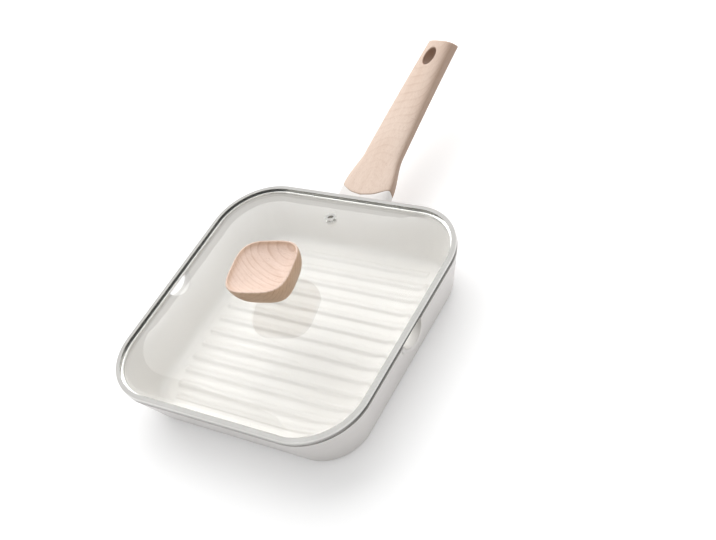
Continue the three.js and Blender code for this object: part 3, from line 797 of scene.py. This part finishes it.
def make_trough(side):
    """Wall of a pouring trough: half an oval bar from the leaning wall out to the lip's outer face.

    Its top and its end stay clear of the lip's own points by the small offsets, so that the two join cleanly.
    """
    top_offset, end_offset, wall_offset = 0.07, 0.06, 0.15
    top = PAN_HEIGHT - LIP_ROUND - top_offset
    loops = []
    for share in (-1.0, 0.0, 0.05, 0.1, 0.17, 0.25, 0.36, 0.5, 0.68, 0.85, 0.92, 0.965, 0.99, 1.0):
        loop = []
        for angle in np.linspace(math.pi, 0, 65):
            depth = (SPOUT_DEPTH + SPOUT_WALL) * math.sin(angle)
            wall_x = LIP_HALF - max(depth, LIP_ROUND + wall_offset) * SLOPE
            reach = LIP_HALF - LIP_ROUND * SLOPE + end_offset - wall_x
            x = wall_x + (share * reach if share > 0 else SPOUT_ROOT * share)
            away = max(0.0, share) * reach
            flare = fillet_at(away, SPOUT_FILLET)
            near_end = max(0.0, SPOUT_END_ROUND - (reach - away))
            drop = SPOUT_END_ROUND - math.sqrt(max(0.0, SPOUT_END_ROUND ** 2 - near_end ** 2))
            grow = SPOUT_WALL + min(flare, reach * 0.5) - drop
            y = (SPOUT_HALF + grow) * math.cos(angle)
            z = min(top, PAN_HEIGHT - (SPOUT_DEPTH + grow) * math.sin(angle))
            loop.append((side * x, side * y, z))
        loops.append(loop)
    return make("trough", Shell().stack(loops, OUTSIDE), pan_looks)


def make_channel(side):
    """Cutter for a trough's hollow, opened out a little where it ends."""
    levels = (
        (24.0, 0.0), (14.0, 0.0), (1.0, 0.0), (0.6, 0.07),
        (0.3, 0.24), (0.1, 0.5), (-0.05, 0.9), (-3.0, 0.9),
    )
    loops = []
    for inset, grow in levels:
        loop = []
        for angle in turn_steps(128):
            y = (SPOUT_HALF + grow) * math.cos(angle)
            z = PAN_HEIGHT + (SPOUT_DEPTH + grow) * math.sin(angle)
            loop.append((side * (LIP_HALF - inset), side * y, z))
        loops.append(loop)
    return make("channel", Shell().stack(loops, INSIDE), pan_looks)


def make_pan():
    pan = make_pan_shell()
    combine(pan, make_lug(), "UNION", PAN_CREASE)
    for side in (1, -1):
        combine(pan, make_trough(side), "UNION", PAN_CREASE)
        combine(pan, make_channel(side), "DIFFERENCE", PAN_CREASE)
    combine(pan, tang("tang", 0.0, GRIP_START - GAP - 1.0, TANG_LENGTH), "UNION", PAN_CREASE)
    screw_way = bore("screw_way", GRIP_SCREW_BORE, SCREW_SEAT, SCREW_TIP + GAP, GRIP_SCREW_Y)
    combine(pan, screw_way, "DIFFERENCE", PAN_CREASE)
    return pan


# Handle


def along_grip(at, foot, neck, end):
    taper = max(0.0, (at - NECK_AT) / (GRIP_LENGTH - NECK_AT))
    return foot + (neck - foot) * smoothstep(at / NECK_AT) + (end - neck) * taper


def grip_slope(at):
    return lerp(GRIP_RISE, GRIP_END_RISE, at / GRIP_LENGTH)


def grip_top(at):
    return GRIP_TOP + at * (grip_slope(0) + grip_slope(at)) / 2


def grip_size(at):
    return [along_grip(at, FOOT_SIZE[i], NECK_SIZE[i], END_SIZE[i]) for i in (0, 1)]


def grip_middle(at):
    return grip_top(at) - grip_size(at)[1] / 2


def section(y, middle, width, height, sweep=0.0, top=TOP_POWER, under=UNDER_POWER, steps=88):
    """Loop across the handle, with its own roundness above and below, swept back at the sides."""
    points = []
    for angle in turn_steps(steps):
        power = 2 / (under if math.sin(angle) < 0 else top)
        across = math.copysign(abs(math.cos(angle)) ** power, math.cos(angle))
        up = math.copysign(abs(math.sin(angle)) ** power, math.sin(angle))
        points.append((-(width / 2) * across, y + sweep * across ** 2, middle + (height / 2) * up))
    return points


def grip_section(at, draw_in=0.0, share=1.0):
    width, height = ((size - draw_in) * share for size in grip_size(at))
    sweep = GRIP_SWEEP * max(0.0, 1 - at / NECK_AT) * share ** 2
    top = along_grip(at, FOOT_TOP_POWER, TOP_POWER, TOP_POWER)
    under = along_grip(at, UNDER_POWER, UNDER_POWER, END_UNDER_POWER)
    lean = along_grip(at, 0.0, 0.0, END_LEAN)
    points = section(GRIP_START + at, grip_middle(at), width, height, sweep, top, under)
    return [(x, y + lean * (grip_top(at) - z), z) for x, y, z in points]


TANG_MIDDLE = grip_middle(GRIP_SCREW_AT) + TANG_LIFT
TANG_UNDER = TANG_MIDDLE - TANG_SIZE[1] / 2
SCREW_SEAT = TANG_UNDER - GRIP_HEAD_BORE * grip_slope(GRIP_SCREW_AT) - GAP - GRIP_SEAT_WOOD
SCREW_TIP = TANG_MIDDLE + TANG_SIZE[1] * (GRIP_SCREW_SHARE - 0.5)
SCREW_HEAD_LOW = SCREW_SEAT - GAP - GRIP_WASHER[1] - GAP - GRIP_SCREW_HEAD[1]


def tang(name, clearance, start, end_at):
    """Flat bar along the handle's slope, or the cutter for its slot."""
    loops = []
    for y in (start, GRIP_START + end_at):
        middle = TANG_MIDDLE + (y - GRIP_SCREW_Y) * grip_slope(GRIP_SCREW_AT)
        loops.append(section(y, middle, TANG_SIZE[0] + 2 * clearance, TANG_SIZE[1] + 2 * clearance, steps=40))
    return make(name, Shell().stack(loops, OUTSIDE), pan_looks)


def make_grip():
    loops = [grip_section(0.0, 1.6, share) for share in (0.12, 0.4, 0.7, 1.0)]
    loops += [grip_section(at, draw_in) for at, draw_in in ((0.12, 0.8), (0.4, 0.25), (0.9, 0.0))]
    body_end = GRIP_LENGTH - END_ROUND
    loops += [grip_section(at) for at in np.linspace(3.0, body_end, 72)]
    for angle in np.linspace(0, math.pi / 2, 8)[1:]:
        at = body_end + END_ROUND * math.sin(angle)
        loops.append(grip_section(at, 2 * END_DRAW_IN * (1 - math.cos(angle))))
    grip = make("handle_wood", Shell().stack(loops), [grip_wood], GRIP_CREASE)
    head_low = TANG_MIDDLE - FOOT_SIZE[1]
    cutters = [
        tang("slot", GAP, GRIP_START - 14.0, TANG_LENGTH + GAP),
        hole_cutter(),
        bore("head_way", GRIP_HEAD_BORE, head_low, SCREW_SEAT, GRIP_SCREW_Y),
        bore("shank_way", GRIP_SCREW_BORE, SCREW_SEAT - 1.0, TANG_MIDDLE, GRIP_SCREW_Y),
    ]
    for cutter in cutters:
        combine(grip, cutter, "DIFFERENCE", GRIP_CREASE)
    keep_first_look(grip)
    return grip


def hole_cutter():
    """Cutter for the oval hang hole, with both edges rounded."""
    at = GRIP_LENGTH - HOLE_FROM_END
    half = grip_size(at)[1] / 2
    levels = [(-half - 3.0, 5.0)]
    for angle in np.linspace(0.12, math.pi / 2, 8):
        levels.append((-half + HOLE_ROUND - HOLE_ROUND * math.cos(angle),
                       HOLE_ROUND - HOLE_ROUND * math.sin(angle)))
    levels += [(-z, flare) for z, flare in levels[::-1]]
    tilt = math.atan(grip_slope(at))
    loops = []
    for z, flare in levels:
        loop = []
        for angle in turn_steps(72):
            x = (HOLE_SIZE[0] / 2 + flare) * math.cos(angle)
            y = (HOLE_SIZE[1] / 2 + flare) * math.sin(angle)
            loop.append((x, GRIP_START + at + y * math.cos(tilt) - z * math.sin(tilt),
                         grip_middle(at) + y * math.sin(tilt) + z * math.cos(tilt)))
        loops.append(loop)
    return make("hole", Shell().stack(loops), [grip_wood])


# Lid


def dome_lift(inward):
    """Rise of the glass at a distance inward from the foot of the dome, with the foot eased."""
    def plain(d):
        return GLASS_RISE * (1 - (1 - max(0.0, d) / DOME_HALF) ** DOME_POWER)

    ease = DOME_FOOT_EASE
    if inward >= ease:
        return plain(inward)
    if inward <= -ease:
        return 0.0
    return plain(ease) * ((inward + ease) / (2 * ease)) ** 2


def make_glass():
    def loop(inward, base):
        half = DOME_HALF - inward
        corner = half * lerp(DOME_CORNER / DOME_HALF, DOME_TOP_ROUND, max(0.0, inward) / DOME_HALF)
        if inward < 0:
            corner = DOME_CORNER - inward
        return rounded_square(half, corner, base + dome_lift(inward))

    inward = [
        -3.0, -1.8, -0.6, 0.6, 1.8, 3.0, 4.5, 6.5, 9, 12, 15.5, 19.5,
        24, 29, 35, 42, 50, 59, 69, 80, 92, 104, 115, 124,
    ]
    edge = [(0.5, 0.0), (0.12, 0.15), (0.0, 0.6), (0.0, GLASS - 0.6), (0.12, GLASS - 0.15), (0.5, GLASS)]
    loops = [loop(d, GLASS_UNDER) for d in inward[::-1]]
    loops += [inset_square(GLASS_INSET + inset, GLASS_UNDER + z) for inset, z in edge]
    loops += [loop(d, GLASS_UNDER + GLASS) for d in inward]
    dome = make("lid_dome", Shell().stack(loops), [glass], GLASS_CREASE)
    knob_way = bore("knob_way", STACK_BORE, GLASS_TOP - GLASS - CUT_PAST, GLASS_TOP + CUT_PAST)
    combine(dome, knob_way, "DIFFERENCE", GLASS_CREASE)
    vent = bore("vent_way", VENT_BORE, -GLASS - CUT_PAST, CUT_PAST)
    for vertex in vent.data.vertices:
        vertex.co = Vector(vent_place([c / MM for c in vertex.co])) * MM
    combine(dome, vent, "DIFFERENCE", GLASS_CREASE)
    keep_first_look(dome)
    return dome


def vent_place(point):
    """Moves a point of the vent, drawn with the glass's upper face at nought, onto the sloping glass."""
    share = VENT_AT / DOME_HALF
    slope = math.atan(GLASS_RISE * DOME_POWER * share ** (DOME_POWER - 1) / DOME_HALF)
    height = GLASS_UNDER + GLASS + GLASS_RISE * (1 - share ** DOME_POWER)
    cos, sin = math.cos(slope), math.sin(slope)
    x, y, z = point
    return (x, VENT_AT + y * cos + z * sin, height - y * sin + z * cos)


def make_rim():
    """Folded band: the sheet's section as inset and height, swept round the lid."""
    inner = SKIRT_INSET + RIM_SHEET
    sharp = [
        (0, 0), (0, RIM_HEIGHT), (RIM_LIP, RIM_HEIGHT), (RIM_LIP, RIM_HEIGHT - RIM_SHEET),
        (RIM_SHEET, RIM_HEIGHT - RIM_SHEET), (RIM_SHEET, RIM_SHEET), (inner, RIM_SHEET),
        (inner, -SKIRT_DROP), (SKIRT_INSET, -SKIRT_DROP), (SKIRT_INSET, 0),
    ]
    radii = [1.5, 1.8, 0.35, 0.35, 0.3, 0.3, 0.7, 0.35, 0.35, 0.4]
    profile = []
    for i, radius in enumerate(radii):
        profile.extend(rounded_corner(sharp, i, radius, 6 if radius > 0.8 else 3))
    loops = [inset_square(inset, LID_SEAT + z) for inset, z in profile]
    return make("lid_band", Shell().stack(loops, capped=False), [rim_steel], TRIM_CREASE)


def knob_loop(width, height):
    lean = height / KNOB_HEIGHT
    points = []
    for angle in turn_steps(128):
        across = abs(math.cos(angle)) ** KNOB_POWER + abs(math.sin(angle)) ** KNOB_POWER
        radius = (width / 2) / across ** (1 / KNOB_POWER)
        points.append((KNOB_LEAN[0] * lean + radius * math.cos(angle + KNOB_TURN),
                       KNOB_LEAN[1] * lean + radius * math.sin(angle + KNOB_TURN), KNOB_SEAT + height))
    return points


def make_knob():
    """Dish lofted from the insert's bore over the foot, up the body, over the edge and into the hollow."""
    def bore_loop(radius, height):
        angles = turn_steps(128) + KNOB_TURN
        return [(radius * math.cos(a), radius * math.sin(a), KNOB_SEAT + height) for a in angles]

    radius, depth = KNOB_BORE
    loops = [bore_loop(radius, depth), bore_loop(radius, KNOB_BORE_EDGE)]
    loops.append(bore_loop(radius + KNOB_BORE_EDGE, 0.0))
    loops += [knob_loop(KNOB_FOOT - less, height) for less, height in ((4, 0.0), (1.6, 0.0), (0.2, 0.12))]
    for angle in np.linspace(0.22, math.pi / 2, 26):
        height = KNOB_HEIGHT * (1 - math.cos(angle))
        if height < KNOB_HEIGHT - 1.1:
            loops.append(knob_loop(lerp(KNOB_FOOT, KNOB_ACROSS, math.sin(angle)), height))
    for angle in np.linspace(0, math.pi, 9):
        width = KNOB_ACROSS - KNOB_RIM + KNOB_RIM * math.cos(angle)
        loops.append(knob_loop(width, KNOB_HEIGHT - 1.0 + math.sin(angle)))
    dish = KNOB_ACROSS - 2 * KNOB_RIM
    for angle in np.linspace(0.12, math.pi / 2, 26)[:-1]:
        loops.append(knob_loop(dish * math.cos(angle), KNOB_HEIGHT - KNOB_DISH * math.sin(angle)))
    knob = make("knob_wood", Shell().stack(loops), [knob_wood], TRIM_CREASE)
    combine(knob, slot_cutter(), "DIFFERENCE", TRIM_CREASE)
    return knob


def slot_cutter():
    """Cutter for the slot in the knob's side, which points away from the middle of the dish."""
    turn = math.acos(1 - KNOB_SLOT_AT / KNOB_HEIGHT)
    around = knob_loop(lerp(KNOB_FOOT, KNOB_ACROSS, math.sin(turn)), KNOB_SLOT_AT)
    middle = Vector(min(around, key=lambda p: abs(math.atan2(p[1], p[0]) - KNOB_SLOT_ANGLE)))
    outward = (middle - Vector((0, 0, KNOB_SEAT + KNOB_HEIGHT))).normalized()
    level = Vector((0, 0, 1)).cross(outward).normalized()
    upright = outward.cross(level)
    length, width, depth = KNOB_SLOT
    cos, sin = math.cos(KNOB_SLOT_TILT), math.sin(KNOB_SLOT_TILT)
    levels = ((-depth, -0.4), (-depth + 0.5, 0.0), (-0.9, 0.0), (-0.4, 0.12), (0.0, 0.4), (depth, 1.6))
    loops = []
    for out, flare in levels:
        points = []
        for angle in turn_steps(48):
            end = math.copysign((length - width) / 2, math.cos(angle))
            u = end + (width / 2 + flare) * math.cos(angle)
            v = (width / 2 + flare) * math.sin(angle)
            across, up = u * cos - v * sin, u * sin + v * cos
            points.append(middle + level * across + upright * up + outward * out)
        loops.append(points)
    return make("slot", Shell().stack(loops), [knob_wood])


# Small pieces


def make_eyelet():
    low = -GLASS - GAP - VENT_WASHER[1] - GAP
    top = GAP + 1.2
    outline = [
        (EYELET_BORE, low), (EYELET_TUBE, low), (EYELET_TUBE, GAP), (EYELET_FLANGE, GAP),
        (EYELET_FLANGE, GAP + 0.7), (EYELET_FLANGE - 0.6, top), (EYELET_TUBE, top), (EYELET_BORE, GAP + 0.6),
    ]
    return turned("vent_eyelet_fine", rounded(outline, 0.45, 5), [rim_steel], vent_place, crease=TRIM_CREASE)


def make_plate():
    outline = [(0, 0)]
    for radius in PLATE_RINGS:
        outline += [(radius - PLATE_RING_HALF, 0), (radius, PLATE_RING_DEPTH), (radius + PLATE_RING_HALF, 0)]
    outline += [(PLATE_RADIUS - PLATE_EDGE, 0), (PLATE_RADIUS, PLATE_EDGE)]
    outline += [(PLATE_RADIUS, PLATE_THICKNESS), (0, PLATE_THICKNESS)]
    return turned("base_plate", outline, [plate_steel], steps=160, crease=PLATE_CREASE)


def screw(name, base, head, shank_radius, tip, y=0.0):
    """Screw with its head below and a six-sided socket."""
    head_radius, head_height = head
    outline = [
        (0, base), (head_radius, base), (head_radius, base + head_height),
        (shank_radius, base + head_height), (shank_radius, tip), (0, tip),
    ]
    made = turned(name, rounded(outline, 0.5), [plain_steel], lambda p: (p[0], p[1] + y, p[2]), 64)
    socket = [circle(head_radius * 0.52, level, 6, y) for level in (base - 1.0, base + head_height * 0.55)]
    combine(made, make("socket", Shell().stack(socket), [plain_steel]), "DIFFERENCE")
    return made


def dress(node_name, obj, body):
    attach(obj, body)
    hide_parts(node_name)


def dress_turned(node_name, outline, look_used, radius, place=None):
    """Turned piece of the lid with its edges rounded."""
    dress(node_name, turned(node_name + "_fine", rounded(outline, radius), [look_used], place), "lid")


def dress_lid_fittings():
    washer_top = -GLASS - GAP
    dress("vent_eyelet", make_eyelet(), "lid")
    dress_turned("vent_washer", ring(VENT_BORE, VENT_WASHER[0], washer_top - VENT_WASHER[1], washer_top),
                 rim_steel, 0.25, vent_place)
    collar_top = COLLAR_SEAT + COLLAR[1]
    collar = [
        (STACK_BORE, COLLAR_SEAT), (COLLAR[0], COLLAR_SEAT), (COLLAR[0], collar_top - COLLAR_CHAMFER),
        (COLLAR[0] - COLLAR_CHAMFER, collar_top), (STACK_BORE, collar_top),
    ]
    dress_turned("knob_collar", collar, plain_steel, 0.4)
    gasket_seat = GLASS_TOP + GAP
    upper = ring(STACK_BORE, GASKET[0], gasket_seat, gasket_seat + GASKET[1])
    dress_turned("knob_upper_gasket", upper, pale_silicone, 0.5)
    lower = ring(STACK_BORE, GASKET[0], LOWER_GASKET_TOP - GASKET[1], LOWER_GASKET_TOP)
    dress_turned("knob_lower_gasket", lower, pale_silicone, 0.5)
    washer = ring(STACK_BORE, KNOB_WASHER[0], KNOB_WASHER_TOP - KNOB_WASHER[1], KNOB_WASHER_TOP)
    dress_turned("knob_washer", washer, plain_steel, 0.3)


dress("pan_body", make_pan(), "pan")
dress("handle_grip", make_grip(), "pan")
dress("induction_plate", make_plate(), "pan")
dress("lid_glass", make_glass(), "lid")
dress("lid_rim", make_rim(), "lid")
dress("knob", make_knob(), "lid")
dress_lid_fittings()
handle_screw = screw("handle_screw_fine", SCREW_HEAD_LOW, GRIP_SCREW_HEAD, GRIP_SCREW_SHANK, SCREW_TIP,
                     GRIP_SCREW_Y)
dress("handle_screw", handle_screw, "pan")
knob_screw = screw("knob_screw_fine", KNOB_SCREW_TOP - KNOB_SCREW_HEAD[1], KNOB_SCREW_HEAD, KNOB_SCREW_SHANK,
                   KNOB_SEAT + KNOB_SCREW_REACH)
dress("knob_screw", knob_screw, "lid")
for name, used in (("handle_washer", plain_steel), ("knob_insert", brass)):
    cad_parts[name].data.materials.clear()
    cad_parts[name].data.materials.append(used)


# Stage, in metres and watts

WHITE = grey(1.0)
FLOOR_TONE = grey(0.86)
FLOOR_HALF = 6.0
FLOOR_GLOW = 0.28
SKY_LIGHT = 0.28
SKY_SEEN = 1.0


def seen_directly(tree):
    """One for rays that reach the camera without a diffuse bounce, also off or through polished pieces."""
    path = tree.nodes.new("ShaderNodeLightPath").outputs
    seen = math_node(tree, "MAXIMUM", path["Is Camera Ray"], path["Is Glossy Ray"])
    seen = math_node(tree, "MAXIMUM", seen, path["Is Transmission Ray"])
    return math_node(tree, "MULTIPLY", seen, math_node(tree, "LESS_THAN", path["Diffuse Depth"], 0.5))


def make_floor():
    mesh = bpy.data.meshes.new("floor")
    corners = [(x * FLOOR_HALF, y * FLOOR_HALF, 0) for x, y in ((-1, -1), (1, -1), (1, 1), (-1, 1))]
    mesh.from_pydata(corners, [], [(0, 1, 2, 3)])
    floor = bpy.data.objects.new("floor", mesh)
    scene.collection.objects.link(floor)
    material, tree, shader, _ = look(
        "floor_white", Base_Color=FLOOR_TONE, Roughness=0.7, Specular_IOR_Level=0.2, Emission_Color=WHITE,
    )
    glow = math_node(tree, "MULTIPLY", seen_directly(tree), FLOOR_GLOW)
    tree.links.new(glow, shader.inputs["Emission Strength"])
    mesh.materials.append(material)


def make_world():
    world = bpy.data.worlds.new("studio")
    scene.world = world
    world.use_nodes = True
    tree = world.node_tree
    seen = math_node(tree, "MULTIPLY", seen_directly(tree), SKY_SEEN - SKY_LIGHT)
    background = tree.nodes["Background"]
    background.inputs["Color"].default_value = WHITE
    tree.links.new(math_node(tree, "ADD", seen, SKY_LIGHT), background.inputs["Strength"])


def lamp(name, place, target, size, power):
    data = bpy.data.lights.new(name, "AREA")
    data.shape = "RECTANGLE"
    data.size, data.size_y = size
    data.energy = power
    obj = bpy.data.objects.new(name, data)
    scene.collection.objects.link(obj)
    obj.visible_glossy = False
    obj.location = place
    obj.rotation_euler = (Vector(target) - Vector(place)).to_track_quat("-Z", "Y").to_euler()


def make_camera():
    data = bpy.data.cameras.new("camera")
    data.sensor_width = 36.0
    data.lens = 59.893
    data.clip_start = 0.01
    data.clip_end = 50.0
    camera = bpy.data.objects.new("camera", data)
    scene.collection.objects.link(camera)
    right = Vector((0.82535, 0.46576, -0.31917))
    up = Vector((-0.15531, 0.73074, 0.66475))
    forward = Vector((-0.54285, 0.49908, -0.67545))
    turn = Matrix((right, up, -forward)).transposed()
    camera.matrix_world = Matrix.Translation((0.66755, -0.51016, 0.82099)) @ turn.to_4x4()
    scene.camera = camera


make_floor()
make_world()
make_camera()
lamp("key", (-0.85, 1.05, 1.55), (0.0, 0.05, 0.06), (3.0, 3.0), 47.0)
lamp("top", (0.0, 0.0, 2.4), (0.0, 0.0, 0.0), (5.0, 5.0), 36.0)
lamp("fill", (1.4, -0.1, 0.3), (0.14, -0.02, 0.03), (1.0, 0.4), 1.6)
scene.view_settings.view_transform = "Standard"
